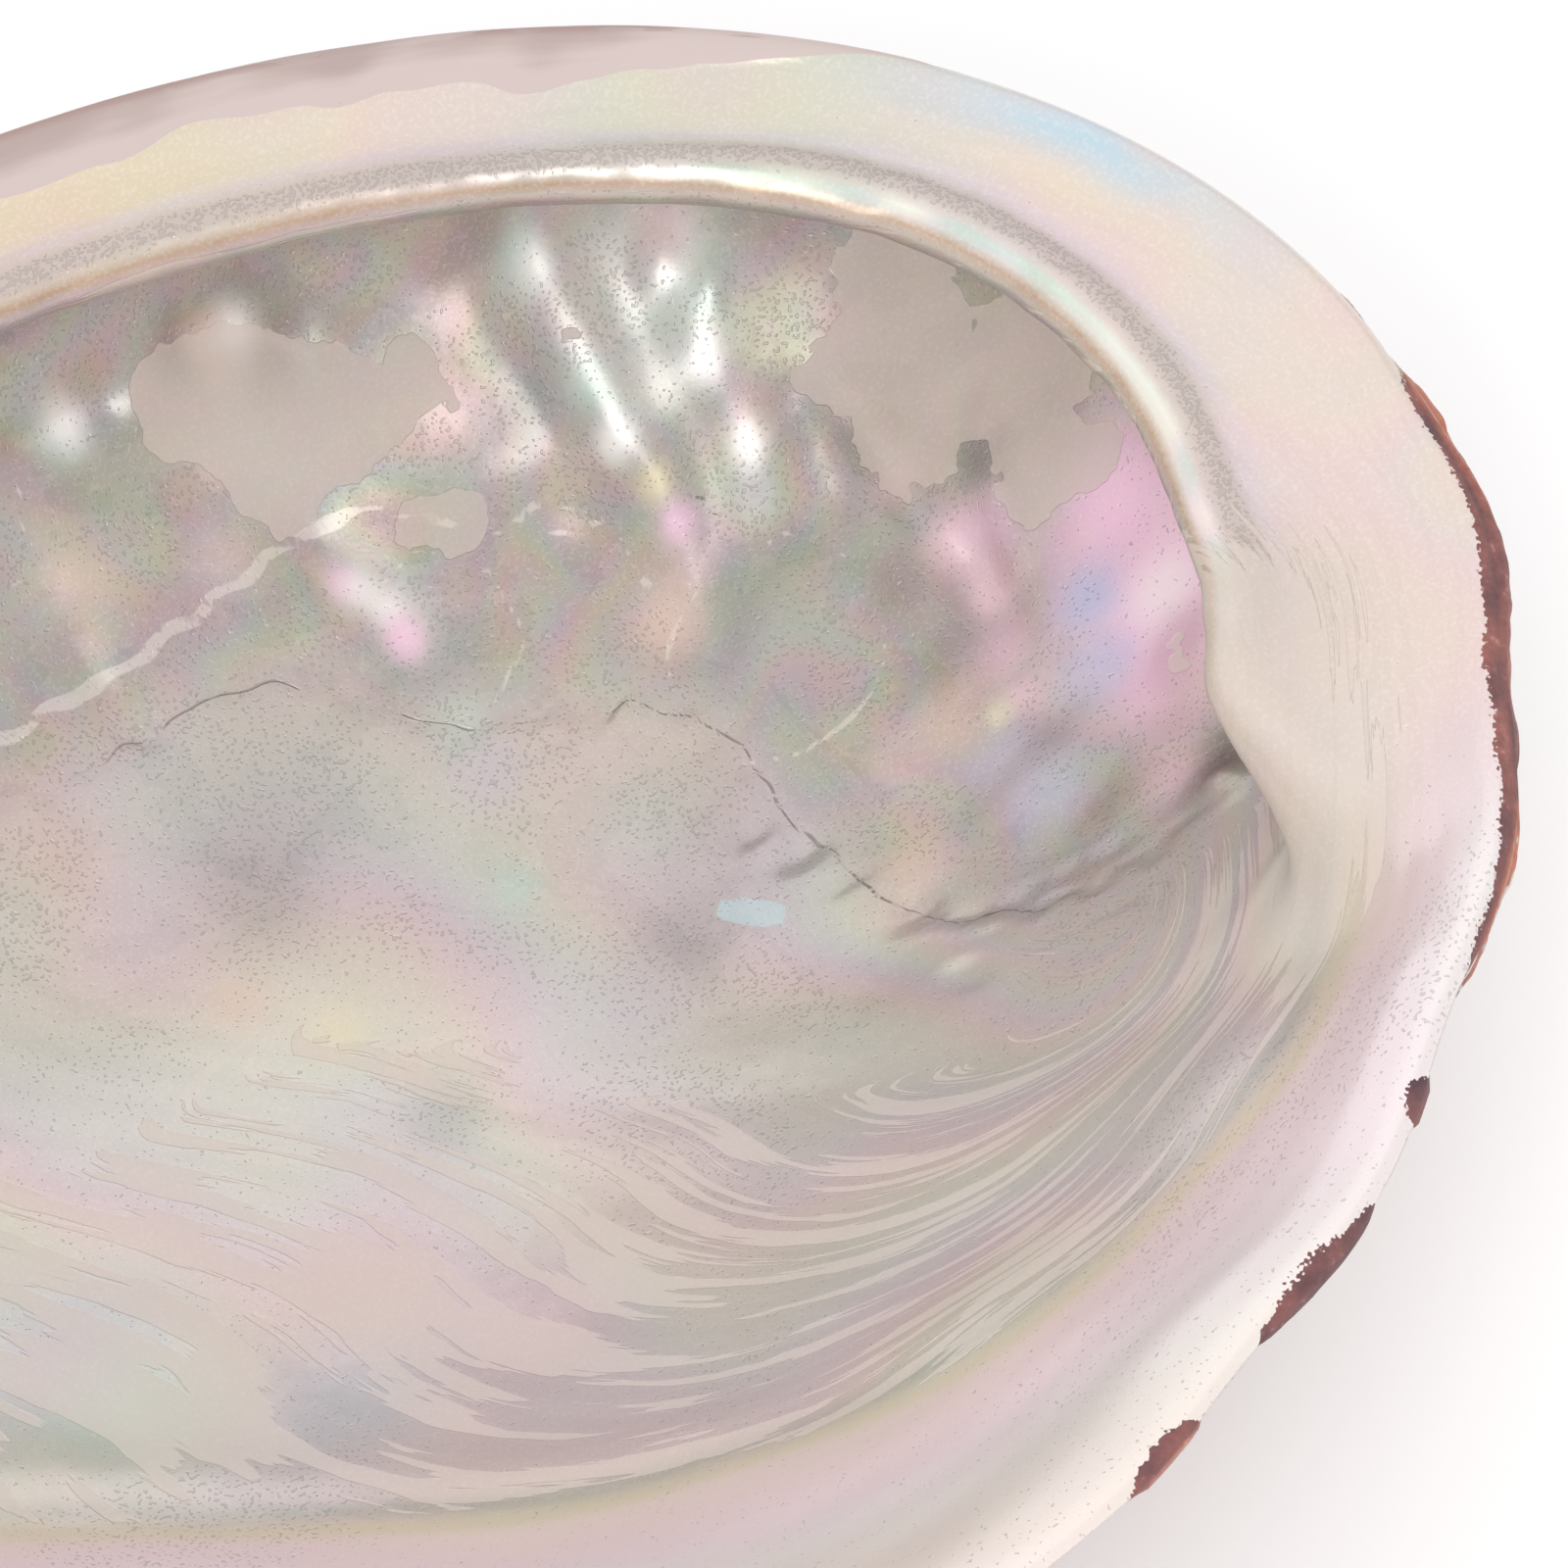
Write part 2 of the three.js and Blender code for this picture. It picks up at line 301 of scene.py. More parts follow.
pearlMarks = {
    # lines drawn in plan on the inside, in millimetres
    "seam": [(-52, 20), (-30, 31), (-14, 36), (-3, 38), (8, 39), (20, 38), (28, 31), (35, 26),
             (44, 21), (47, 15), (48, 3), (51, -6), (59, -13), (70, -15)],
    "paleLine": [(-14, 41), (0, 43), (15, 44), (26, 45), (33, 44), (42, 37), (47, 34)],
    "lipFold": [(-104, 40), (-84, 10), (-60, -3), (-31, -14), (-14, -24), (3, -36), (27, -46),
                (46, -44), (58, -40), (68, -30), (75, -20), (84, -5), (97, 16)],
    "crack": [(50, 36), (52, 35), (54, 32), (55, 28)],
    "paleBranch": [(40, 38), (44, 38), (48, 33), (48, 28)],
    # ridges and hollows running down the wall under the shelf: path, width, height
    "ridges": [([(52, 52), (51, 49), (51, 42), (51, 38), (52, 34), (51, 28), (50, 23)], 2.8, 0.9),
               ([(28, 43), (29, 41), (31, 38), (31, 33), (30, 30)], 2.4, 0.55),
               ([(60, 44), (60, 42), (59, 38), (59, 32), (57, 27)], 2.8, 0.6),
               ([(66, 27), (66, 23), (67, 17), (67, 12), (65, 7)], 2.3, 0.8),
               ([(46, 16), (47, 12), (47, 5)], 1.2, 0.5),
               ([(27, 58), (30, 57), (33, 55)], 1.7, 0.9),
               ([(12, 58), (16, 58), (19, 58)], 1.6, 0.8),
               ([(8, 52), (9, 45), (10, 40)], 2.6, 0.5),
               ([(-12, 52), (-10, 44), (-8, 38)], 3.0, 0.7),
               ([(-32, 48), (-29, 40), (-26, 33)], 3.4, 0.7)],
    "hollows": [([(63, 32), (64, 24), (63, 16), (64, 11), (65, 6)], 2.3, 0.7),
                ([(46, 54), (47, 51), (48, 42), (47, 36)], 2.4, 0.6),
                ([(73, 22), (72, 19), (71, 16), (70, 12)], 1.6, 0.8)],
    # blisters: place in plan, radius, height
    "blisters": [(44.5, 9, 1.5, 0.5), (46, 5, 1.3, 0.45), (47.5, 1, 1.1, 0.3), (50, -4.5, 1.7, 0.5),
                 (49.5, -12.5, 1.6, 0.3), (56.5, -9.5, 0.9, 0.25), (59.5, -10.5, 0.8, 0.2),
                 (62.5, -11.5, 0.9, 0.25), (53, -8, 0.8, 0.25), (42.5, 12.5, 0.9, 0.2),
                 (61.5, 41, 1.1, 0.3), (58.5, 44.5, 1.4, 0.3)],
    # fine pale rings: place in plan, radius
    "rings": [(33, 34, 6), (53, 19, 8), (5, 57, 6)],
    "facet": (41, 3),
    "facetWay": (0.76, 0.65),  # across its short side
    "facetHalves": (1.1, 2.8),
    "pit": (70, -14),
    # where the crust reaches over the rim: middle turn, half width
    "crustTurns": [(-23, 21), (-50, 1.5), (-60, 4.5), (-71, 2.5), (-95, 7), (-118, 11), (-150, 15),
                   (172, 11)],
}
shades = {
    "bowl": tone(212, 201, 196),
    "lip": tone(243, 229, 226),
    "lipRim": tone(238, 225, 221),
    "wall": tone(172, 162, 154),
    "cream": tone(215, 199, 176),
    "pinkCream": tone(220, 202, 195),
    "mintCream": tone(204, 200, 184),
    "tan": tone(188, 158, 130),
    "groove": tone(186, 174, 169),
    # colour of the painted highlights on the ridge crests and the shelf's crest
    "highlightWhite": tone(250, 246, 242),
    # pink, laid on as painted highlight on the ridges and brightened by the pit
    "blushHighlight": tone(255, 206, 232),
    "rose": tone(226, 190, 196),
    "peach": tone(226, 198, 180),
    "yellow": tone(226, 216, 178),
    "mint": tone(194, 216, 204),
    "sky": tone(184, 208, 220),
    "lilac": tone(208, 196, 214),
    "moss": tone(156, 166, 154),
    "silver": tone(190, 193, 187),
    # grey, laid on grey marks and also as painted shade in the wall's hollows
    "slate": tone(148, 148, 144),
    # painted shade for the wall's hollows, beside the bright crests and in the pit
    "paintedShade": tone(120, 110, 104),
    "ochre": tone(194, 166, 140),
    "umber": tone(148, 130, 120),
    "haze": tone(190, 192, 228),
    "fan": tone(188, 178, 164),
    "rust": tone(180, 148, 142),
}
crust = {
    "dark": tone(98, 62, 66),
    "brick": tone(134, 82, 76),
    "orange": tone(194, 108, 76),
    "pale": tone(176, 148, 138),
    "glint": tone(206, 160, 140),
    "roughness": 0.62,
    "grainScale": 1500.0,
    "speckleScale": 800.0,
    "glintShare": 0.35,
    "speckleHeight": 0.00014,
    "grainHeight": 0.00006,
}
# soft tints on the wall and in the bowl: place in plan, radius, colour name, strength. The white and blush
# ones, with the mint, yellow and rose beside them on the ridge crests, are painted highlights, and the
# broad blush by the pit is pink brightened as painted light; the darkest ones and the slate ones in the
# hollows and the pit are painted shade
softTints = [
    (56, 44, 6.5, "silver", 0.8), (50, 40, 4, "silver", 0.4), (16, 30, 8, "slate", 0.3),
    (42, 12, 5, "moss", 0.35), (5, 52, 7, "silver", 0.35), (-15, 50, 8, "silver", 0.35),
    (30, 56, 5, "paintedShade", 0.35), (33, 55, 4, "paintedShade", 0.45), (46, 52, 3, "rust", 0.5),
    (42, 46, 2, "rose", 0.5), (22, 47, 2.5, "rose", 0.55), (12, 50, 3, "peach", 0.55),
    (47, 38, 2.5, "ochre", 0.5), (32, 34, 5, "moss", 0.5), (55, 33, 3.5, "moss", 0.45),
    (47, 44, 3, "slate", 0.45), (63, 31, 2.5, "slate", 0.6), (64, 24, 2.5, "slate", 0.7),
    (63, 17, 2.5, "paintedShade", 0.55), (64, 10, 2.5, "paintedShade", 0.7), (72, 19, 2, "paintedShade", 0.75),
    (71, 15, 2, "paintedShade", 0.8), (69, 11, 2, "paintedShade", 0.5), (57, 20, 4, "moss", 0.3),
    (28, 57, 2, "peach", 0.9), (30, 57, 1.5, "highlightWhite", 1.0), (15, 58, 2, "mint", 0.6),
    (16, 58, 1.5, "highlightWhite", 1.0), (29, 41, 1.5, "blushHighlight", 0.6), (30, 40, 1.5, "highlightWhite", 0.7),
    (31, 38, 1.5, "highlightWhite", 0.8), (31, 36, 1.5, "blushHighlight", 0.7), (31, 35, 1.5, "blushHighlight", 0.5),
    (50, 50, 2, "mint", 0.7), (51, 49, 1.5, "highlightWhite", 0.6), (51, 42, 1.5, "mint", 0.7),
    (51, 38, 1.5, "highlightWhite", 0.9), (52, 34, 1.5, "yellow", 0.85), (52, 31, 1.5, "blushHighlight", 0.8),
    (51, 28, 2, "rose", 0.6), (48, 26, 2.5, "peach", 0.8), (60, 42, 3, "mint", 0.75),
    (59, 38, 1.5, "highlightWhite", 0.6), (59, 32, 1.5, "highlightWhite", 0.75), (60, 45, 2.5, "rose", 0.5),
    (66, 23, 2, "rose", 0.6), (67, 17, 2, "rose", 0.85), (67, 12, 1.5, "rose", 0.85),
    (76, 2, 7, "blushHighlight", 1.0), (77, 10, 5, "blushHighlight", 0.85), (70, 29, 6, "umber", 0.75),
    (76, 21, 4.5, "umber", 0.75), (30, 52, 6, "silver", 0.3), (72, 6, 2.5, "haze", 0.9),
    (70, 1, 2.5, "haze", 0.85), (72, -3, 3.5, "blushHighlight", 0.75), (69, -9, 3, "rose", 0.8),
    (66, 8, 3, "blushHighlight", 0.35), (60, 6, 3, "peach", 0.45), (62, -4, 3, "haze", 0.45),
    (69, 15, 3, "blushHighlight", 0.55), (68, 12, 2, "rose", 0.7), (76, 2, 2.5, "highlightWhite", 0.6),
    (68, 1, 3, "lilac", 0.65), (74, -7, 3, "rose", 0.6), (65, 4, 1.5, "rose", 0.8),
    (63, 4, 1, "yellow", 0.8), (72, -12, 2.5, "paintedShade", 0.85), (61, 0, 3.5, "lilac", 0.55),
    (52, -2, 3, "peach", 0.6), (56, 6, 3, "rose", 0.35), (31, 24, 3, "lilac", 0.55),
    (31, 28, 2.5, "mint", 0.5), (38, 14, 4, "mint", 0.35), (36, 4, 4, "slate", 0.5),
    (12, 25, 4.5, "slate", 0.4), (14, 2, 3, "slate", 0.35), (1, 34, 4, "peach", 0.45),
    (6, 18, 2.5, "peach", 0.55), (11, 12, 2.5, "yellow", 0.55), (14, 7, 2, "peach", 0.5),
    (28, 15, 2, "mint", 0.7), (30, 2, 4.5, "lilac", 0.4), (1, -6, 6, "rose", 0.3),
    (12, -14, 6, "rose", 0.3), (-15, -1, 6, "lilac", 0.45), (-17, -10, 7.5, "mint", 0.6),
    (-5, -16, 6, "sky", 0.3),
]
# places with no lustre, each bounded by a crisp edge: place in plan, radius
dullPatches = [
    (24, 55, 3), (28, 53, 4.5), (33, 52, 4), (36, 48, 3.5), (30, 49, 3), (41, 50, 2), (36, 42, 2),
    (39, 40, 2), (68, 31, 4), (68, 26, 3.5), (72, 29, 4.5), (72, 24, 4), (76, 24, 3.5), (75, 18, 3.5),
    (74, 15, 2.5), (71, 33, 3.5), (78, 20, 3.5), (77, 14, 2), (70, 23, 2.5),
]
innerCounts = {
    "columns": 560,
    "crowding": 0.45,
    "crowdedAt": 5.0,
    "rows": 112,
    "wallWeight": 9.0,
    "shelfWeight": 3.8,
    "freeEdgeGuide": 12.2,  # place of the shelf's free edge, counted in guides from the keel
}
growth = {
    # growth lines are drawn out from this ring angle on, up to a limit
    "drawnFrom": 190,
    "drawnRate": 0.00023,
    "drawnLimit": 1.3,
}


def columnAngles():
    # even turns drawn together at the spire end: a = u - c sin(u - u0)
    even = np.arange(innerCounts["columns"]) * 2 * np.pi / innerCounts["columns"]
    return even - innerCounts["crowding"] * np.sin(even - math.radians(innerCounts["crowdedAt"]))


def markGap(at, name):
    return lineGap(at["x"], at["y"], smoothPath(pearlMarks[name]))


def innerPlaces(angle):
    # the guides' spline over the whole bowl and shelf, and where each point of it lies
    weights = [innerCounts["wallWeight"]] * 8 + [innerCounts["shelfWeight"]] * 11
    marks = np.concatenate([[0], np.cumsum(weights)]) / sum(weights)
    v = np.interp(np.linspace(0, 1, innerCounts["rows"] + 1), marks, np.linspace(0, 1, len(weights) + 1))
    line = alongGuides(innerGuides(angle).transpose(0, 2, 1), v)
    reach = line[..., 0] / columnSpan(angle)
    points = placed(angle, reach, line[..., 1])
    run = runDown(points)
    turn = turnOf(angle) * np.ones_like(run)
    share = ease(turn, form["shelfPit"], form["shelfFull"])
    share = share * (1 - ease(turn, form["shelfFade"], form["shelfEnd"]))
    stage, ring = growthStage(angle, np.minimum(reach, 1.0))
    freeEdge = np.searchsorted(v, innerCounts["freeEdgeGuide"] / len(weights))
    at = {
        "points": points, "x": points[..., 0], "y": points[..., 1], "turn": turn, "share": share,
        "rimRun": run[-1] - run, "shelfRun": run - run[freeEdge],
        "stage": stage, "ring": ring, "v": v[:, None] * np.ones_like(angle),
    }
    # age of a growth line: log of its stage, drawn out toward the head end
    ringTurn = (np.degrees(ring) - 20) % 360 + 20
    onFlat = share * ease(at["v"], 0.55, 0.64)
    drawn = growth["drawnRate"] * np.maximum(growth["drawnFrom"] - ringTurn, 0) ** 2
    drawn = drawn / (1 + (drawn / growth["drawnLimit"]) ** 3) ** (1 / 3)
    at["age"] = np.log(stage + 0.03) - (1 - onFlat) * drawn
    at["seam"], at["seamAlong"] = markGap(at, "seam")
    at["pale"], at["paleAlong"] = markGap(at, "paleLine")
    at["fold"], at["foldAlong"] = markGap(at, "lipFold")
    at["seamSide"] = ease(at["seam"], -4, 5)
    at["onShelf"] = share * ease(at["shelfRun"], -0.2, 0.6)
    below = 1 - ease(at["v"], 0.50, 0.60)
    at["below"] = below
    at["onWall"] = share * below * at["seamSide"]
    # the mottled floor just below the seam, away from the pit
    besideSeam = share * ease(at["seam"], -27, -14) * (1 - ease(at["x"], 40, 54)) * below
    at["mottled"] = np.maximum(at["onWall"], besideSeam)
    at["crested"] = (1 - ease(turn, 30, 50)) * ease(turn, -30, -10)
    at["groovePlace"] = mix(2.7, 4.2, 1 - ease(turn, 30, 50))
    return at


innerRise = {
    # heights and depths of the marks on the inside, in millimetres
    "crest": 0.28,
    "groove": 0.24,
    "grooveFar": 0.10,
    "wallLumps": 0.22,
    "seamLip": 0.20,
    "seamStep": 0.12,
    "paleLine": 0.04,
    "lipFold": 0.55,
    "lipHollow": 0.25,
    "fineGrowth": 0.030,
    "broadGrowth": 0.040,
    "crossRipples": 0.12,
    "softLumps": 0.06,
    "pit": 1.4,
    "facet": 0.2,
    "leafStep": 0.15,
}


def innerRelief(at):
    # height of the marks above the plain inside, along its normals
    points = at["points"]
    shelfRun = at["shelfRun"]
    turn = at["turn"]
    rough = ripple(points, 5.0, 3)
    fine = ripple(points, 1.6, 4)
    # crest behind the free edge at the spire end, and the pitted groove outside it
    onShelf = at["onShelf"]
    raised = onShelf * at["crested"] * (innerRise["crest"] + 0.06 * rough) * bell(shelfRun, 2.0, 0.9)
    onShelf = onShelf * ease(turn, -32, -14)
    groove = mix(innerRise["grooveFar"], innerRise["groove"], at["crested"])
    raised = raised - onShelf * groove * bell(shelfRun, at["groovePlace"], 1.2)
    raised += onShelf * 0.05 * fine * bell(shelfRun, at["groovePlace"], 1.4)
    raised += at["share"] * 0.08 * ripple(points, 4.2, 5) * bell(shelfRun, 0.2, 1.8)
    # ridges and hollows running down the wall under the shelf
    bend = 0.5 * ripple(points, 14.0, 8)
    for name, sign in (("ridges", 1.0), ("hollows", -0.8)):
        for path, width, height in pearlMarks[name]:
            gap = lineGap(at["x"], at["y"], smoothPath(path))[0]
            raised += sign * at["below"] * height * bell(np.abs(gap) + bend, 0, width)
    raised += at["onWall"] * innerRise["wallLumps"] * ripple(points, 9.0, 9)
    # seam where the wall's later growth laps over the bowl
    seamHere = ease(at["seamAlong"], 4, 30) * (1 - ease(np.abs(at["seam"]), 3, 6))
    seamHere = seamHere * (1 - ease(at["v"], 0.42, 0.5))
    wander = at["seam"] + 0.5 * rough
    seamRise = innerRise["seamLip"] * bell(wander, 0.3, 0.6)
    seamRise = seamRise - innerRise["seamStep"] * bell(wander, -0.7, 0.5)
    seamRise = seamRise + innerRise["seamStep"] * ease(wander, -0.5, 0.5)
    raised += seamHere * seamRise
    paleHere = at["below"] * ease(at["paleAlong"], 2, 20)
    raised += paleHere * innerRise["paleLine"] * bell(at["pale"] + 0.4 * rough, 0, 0.7)
    for placeX, placeY, radius, height in pearlMarks["blisters"]:
        raised += at["below"] * height * bell(np.hypot(at["x"] - placeX, at["y"] - placeY), 0, radius, 4)
    # fold along the outer lip, then soft growth waves that shrink toward the spire
    foldHere = (1 - at["share"]) * ease(at["foldAlong"], 60, 100)
    foldRise = innerRise["lipFold"] * bell(at["fold"], 0, 3.0)
    foldRise = foldRise - innerRise["lipHollow"] * bell(at["fold"], 4.5, 2.8)
    raised += foldHere * foldRise
    calm = (1 - at["onWall"]) * (1 - at["onShelf"]) * np.minimum(at["stage"] / 0.6, 1) ** 1.4
    raised += calm * innerRise["fineGrowth"] * np.sin(60 * at["age"] + 1.6 * ripple(points, 26.0, 10))
    raised += calm * innerRise["broadGrowth"] * np.sin(23 * at["age"] + 1.4 * ripple(points, 30.0, 11))
    # small cross ripples near the rim beside the pit
    ripples = ease(turn, -46, -40) * (1 - ease(turn, -30, -24)) * bell(at["rimRun"], 5, 3.5)
    raised += innerRise["crossRipples"] * ripples * np.sin(np.radians(turn) * 62)
    raised += (1 - at["onWall"]) * innerRise["softLumps"] * ripple(points, 13.0, 12) + 0.008 * fine
    pitX, pitY = pearlMarks["pit"]
    pitHere = bell(np.hypot(at["x"] - pitX, at["y"] - pitY), 0, 1.5) * (1 - ease(at["v"], 0.6, 0.7))
    raised -= innerRise["pit"] * pitHere
    facetX, facetY = pearlMarks["facet"]
    facetHere = bell(np.hypot(at["x"] - facetX, at["y"] - facetY), 0, 3.4, 4) * at["below"]
    raised -= innerRise["facet"] * facetHere
    return raised * ease(at["rimRun"], 0.0, 1.2)


tintShares = {
    "foldShadowLine": 0.45,
    "yellowLine": 0.60,
    "blueRim": 0.95,
    "yellowRim": 0.35,
    "lilacLine": 0.45,
    "groove": 0.85,
    "crest": 0.9,
    "tanEdgeAndShade": 0.95,
    "shelfEnd": 0.60,
}


def innerTint(at):
    # broad colour of the inside, with how dull and how pitted it is
    points = at["points"]
    turn = at["turn"]
    shelfRun = at["shelfRun"]
    drift = ripple(points, 36.0, 41)
    eddy = ripple(points, 13.0, 42)
    mottle = ripple(points, 6.0, 43)
    # bowl: grey pearl in broad bands of growth, palest at the head end
    tint = shades["bowl"] * pastel(1.5 * at["age"] + 0.30 * drift + 0.08 * eddy, 0.050 + 0.015 * drift)
    pitted = 0.9 * bell(drift, -1.2, 0.5) * (1 - at["onWall"])
    dull = 0.50 + 0.10 * drift + 0.05 * eddy
    # outer lip: yellow, pink and lilac bands beside the fold, then plain pale pink out to the rim
    out = -at["fold"]
    sharp = ease(at["foldAlong"], 15, 65)
    lip = (1 - at["onWall"]) * ease(out / mix(5.0, 1.0, sharp), -1.0, 1.5) * (1 - at["onShelf"])
    bands = pastel(0.14 - 0.050 * out + 0.10 * drift, 0.050 - 0.030 * ease(out, 6, 20))
    lipTint = laid(shades["lip"], shades["lipRim"], ease(out, 5, 20)) * bands
    tint = laid(tint, lipTint, lip)
    sharp = sharp * (1 - at["share"])
    # a grey-green line of painted shadow just inside the fold
    tint = laid(tint, shades["moss"], tintShares["foldShadowLine"] * sharp * bell(out, -1.4, 0.8))
    tint = laid(tint, shades["yellow"], tintShares["yellowLine"] * sharp * bell(out, 0.5, 1.0))
    dull = dull * (1 - lip) - 0.15 * lip
    # wall: greyer and mottled
    wall = at["share"] * (1 - ease(shelfRun, -0.9, 0.1)) * np.where(at["v"] > 0.5, 1.0, at["seamSide"])
    wallTint = shades["wall"] * pastel(0.8 * drift + 0.5 * eddy, 0.065)
    wallTint = wallTint * (1 + 0.07 * eddy + 0.04 * mottle)[..., None]
    wallTint = wallTint * pastel(0.9 * at["age"] + 0.5 * ripple(points, 9.0, 44), 0.055)
    tint = laid(tint, wallTint, wall)
    dull = mix(dull, 0.12 + 0.05 * mottle, at["mottled"])
    pitted = mix(pitted, ease(eddy + 0.6 * mottle, -0.5, 0.6), at["mottled"])
    for placeX, placeY, radius, name, strength in softTints:
        gap = np.hypot(at["x"] - placeX, at["y"] - placeY) + 99 * (1 - at["below"])
        tint = laid(tint, shades[name], strength * (1 - at["onShelf"]) * bell(gap, 0, radius, 2.4))
        if name in ("slate", "paintedShade", "moss"):
            pitted = np.maximum(pitted, 0.9 * bell(gap, 0, radius * 1.2))
        if name in ("highlightWhite", "blushHighlight"):
            pitted = pitted * (1 - bell(gap, 0, radius))
    for placeX, placeY, radius in dullPatches:
        gap = np.hypot(at["x"] - placeX, at["y"] - placeY)
        dull = np.maximum(dull, at["below"] * bell(gap + 0.5 * mottle, 0, 1.3 * radius))
    # shelf: pearly flat, then the pink line, the groove, the crest with a painted highlight, and the tan
    # edge, its own brown with painted shade
    flat = laid(shades["pinkCream"], shades["mintCream"], bell(turn, 42, 16))
    flat = laid(flat, shades["cream"], ease(turn, 48, 75))
    flat = flat * pastel(0.5 * drift + 0.25 * eddy, 0.030)
    blue = bell(turn, 21, 10) * bell(at["rimRun"] + 0.6 * mottle, 2.6, 2.2)
    flat = laid(flat, shades["sky"], tintShares["blueRim"] * blue)
    yellowHere = bell(turn, 21, 11) * bell(at["rimRun"], 6.0, 1.6)
    flat = laid(flat, shades["yellow"], tintShares["yellowRim"] * yellowHere)
    groove = bell(shelfRun, at["groovePlace"], 1.25, 4) * ease(turn, -30, -12)
    lilacHere = bell(shelfRun, at["groovePlace"] + 2.0, 0.8)
    flat = laid(flat, shades["lilac"], tintShares["lilacLine"] * lilacHere)
    flat = laid(flat, shades["groove"], tintShares["groove"] * groove)
    # the crest's mint and white is a painted highlight along the shelf's rounded lip
    crestHighlight = laid(shades["mint"], shades["highlightWhite"], 0.5 + 0.5 * mottle)
    crestHighlight = crestHighlight * pastel(0.04 * turn + 0.3 * mottle, 0.05)
    flat = laid(flat, crestHighlight, tintShares["crest"] * at["crested"] * bell(shelfRun, 2.0, 0.60))
    # the tan edge: the shelf's own brown with painted shade on its steep inner face
    flat = laid(flat, shades["tan"], tintShares["tanEdgeAndShade"] * (1 - ease(shelfRun, 0.7, 1.3)))
    tint = laid(tint, flat, at["onShelf"])
    dull = mix(dull, -0.1, at["onShelf"])
    # the shelf's end beside the pit is a plain grey tan with little lustre
    fan = bell(turn, -23, 13, 3) * bell(at["v"], 0.68, 0.13, 3)
    tint = laid(tint, shades["fan"], tintShares["shelfEnd"] * fan)
    dull = mix(dull, 1.05, fan)
    pitted = mix(pitted, 3.0 * groove - 1.0, at["onShelf"])
    return tint, dull, pitted


def innerSkin(angle):
    # the plain inside raised by its marks, with what the paint needs to know at each point
    at = innerPlaces(angle)
    plain = at["points"]
    raised = innerRelief(at)
    # thin leaves that step down toward the rim along the shelf's outer edge
    leafStart = 4.6 + 0.9 * ripple(plain * [1, 1, 0], 17.0, 6) + 0.3 * ripple(plain * [1, 1, 0], 5.0, 7)
    leafy = ease(at["turn"], 24, 52) * (1 - ease(at["turn"], 125, 150))
    leafGap = np.where(leafy > 0, leafStart * leafy - at["rimRun"], -9.0)
    raised -= innerRise["leafStep"] * ease(leafGap, -0.3, 0.3) * ease(at["rimRun"], 0.1, 0.6)
    tint, dull, pitted = innerTint(at)
    rough = 0.35 * ripple(plain, 5.0, 3)
    paleHalf = mix(0.5, 0.12, ease(at["paleAlong"], 30, 60))
    paleGap = np.where(at["paleAlong"] > 3, np.abs(at["pale"] + rough) - paleHalf, 9.0)
    for placeX, placeY, radius in pearlMarks["rings"]:
        ringGap = np.abs(np.hypot(at["x"] - placeX, at["y"] - placeY) + rough - radius) - 0.10
        paleGap = np.minimum(paleGap, np.where(at["below"] > 0.5, ringGap, 9.0))
    branch = np.abs(markGap(at, "paleBranch")[0] + rough) - 0.15
    paleGap = np.minimum(paleGap, branch)
    crack = np.abs(markGap(at, "crack")[0])
    facetX, facetY = pearlMarks["facet"]
    wayX, wayY = pearlMarks["facetWay"]
    facetShort, facetLong = pearlMarks["facetHalves"]
    acrossGap = np.abs((at["x"] - facetX) * wayX + (at["y"] - facetY) * wayY) / facetShort
    alongGap = np.abs((at["y"] - facetY) * wayX - (at["x"] - facetX) * wayY) / facetLong
    bowlWeave = np.stack([29 * at["age"], 3.6 * at["stage"] * np.cos(at["ring"]),
                          3.6 * at["stage"] * np.sin(at["ring"])], axis=-1)
    facts = {
        "tint": tint * (0.86 - 0.14 * at["mottled"] * (1 - at["onWall"]))[..., None],
        "dull": dull - 4.0 * at["mottled"] * (1 - at["mottled"]),
        "pitted": pitted,
        "dullDepth": mix(0.45, 0.60, at["onWall"]),
        "leafDepth": 0.08 * (1 - 4 * at["mottled"] * (1 - at["mottled"])),
        "weave": laid(bowlWeave, plain * 0.16, at["mottled"]),
        "rimRun": at["rimRun"],
        "crustGap": at["rimRun"] - crustReach(angle),
        "seamGap": at["seam"] + 0.9 * rough,
        "seamShare": ease(at["seamAlong"], 58, 68) * (1 - ease(at["seamAlong"], 140, 146)) * at["below"],
        "crackGap": crack + 9 * (1 - at["below"]),
        "paleGap": paleGap + 9 * (1 - at["below"]),
        "leafGap": leafGap,
        "facetGap": np.maximum(acrossGap, alongGap) + 9 * (1 - at["below"]),
        "worn": np.zeros_like(raised),
        "crustTint": laid(crust["dark"], crust["brick"], 0.5 + 0.5 * ripple(plain, 5.0, 27)),
    }
    return plain + normalsOf(plain) * raised[..., None], facts


def crustReach(angle):
    # how far in from the rim the crust begins: over the rim in places, worn back on the spire side
    turn = turnOf(angle)
    over = np.zeros_like(turn)
    for middle, half in pearlMarks["crustTurns"]:
        over = np.maximum(over, np.sqrt(np.clip(1 - ((turn - middle) / half) ** 2, 0, 1)))
    worn = ease(turn, 0, 8) * (1 - ease(turn, 140, 165))
    return mix(-0.9, 1.35, over) - 2.0 * worn


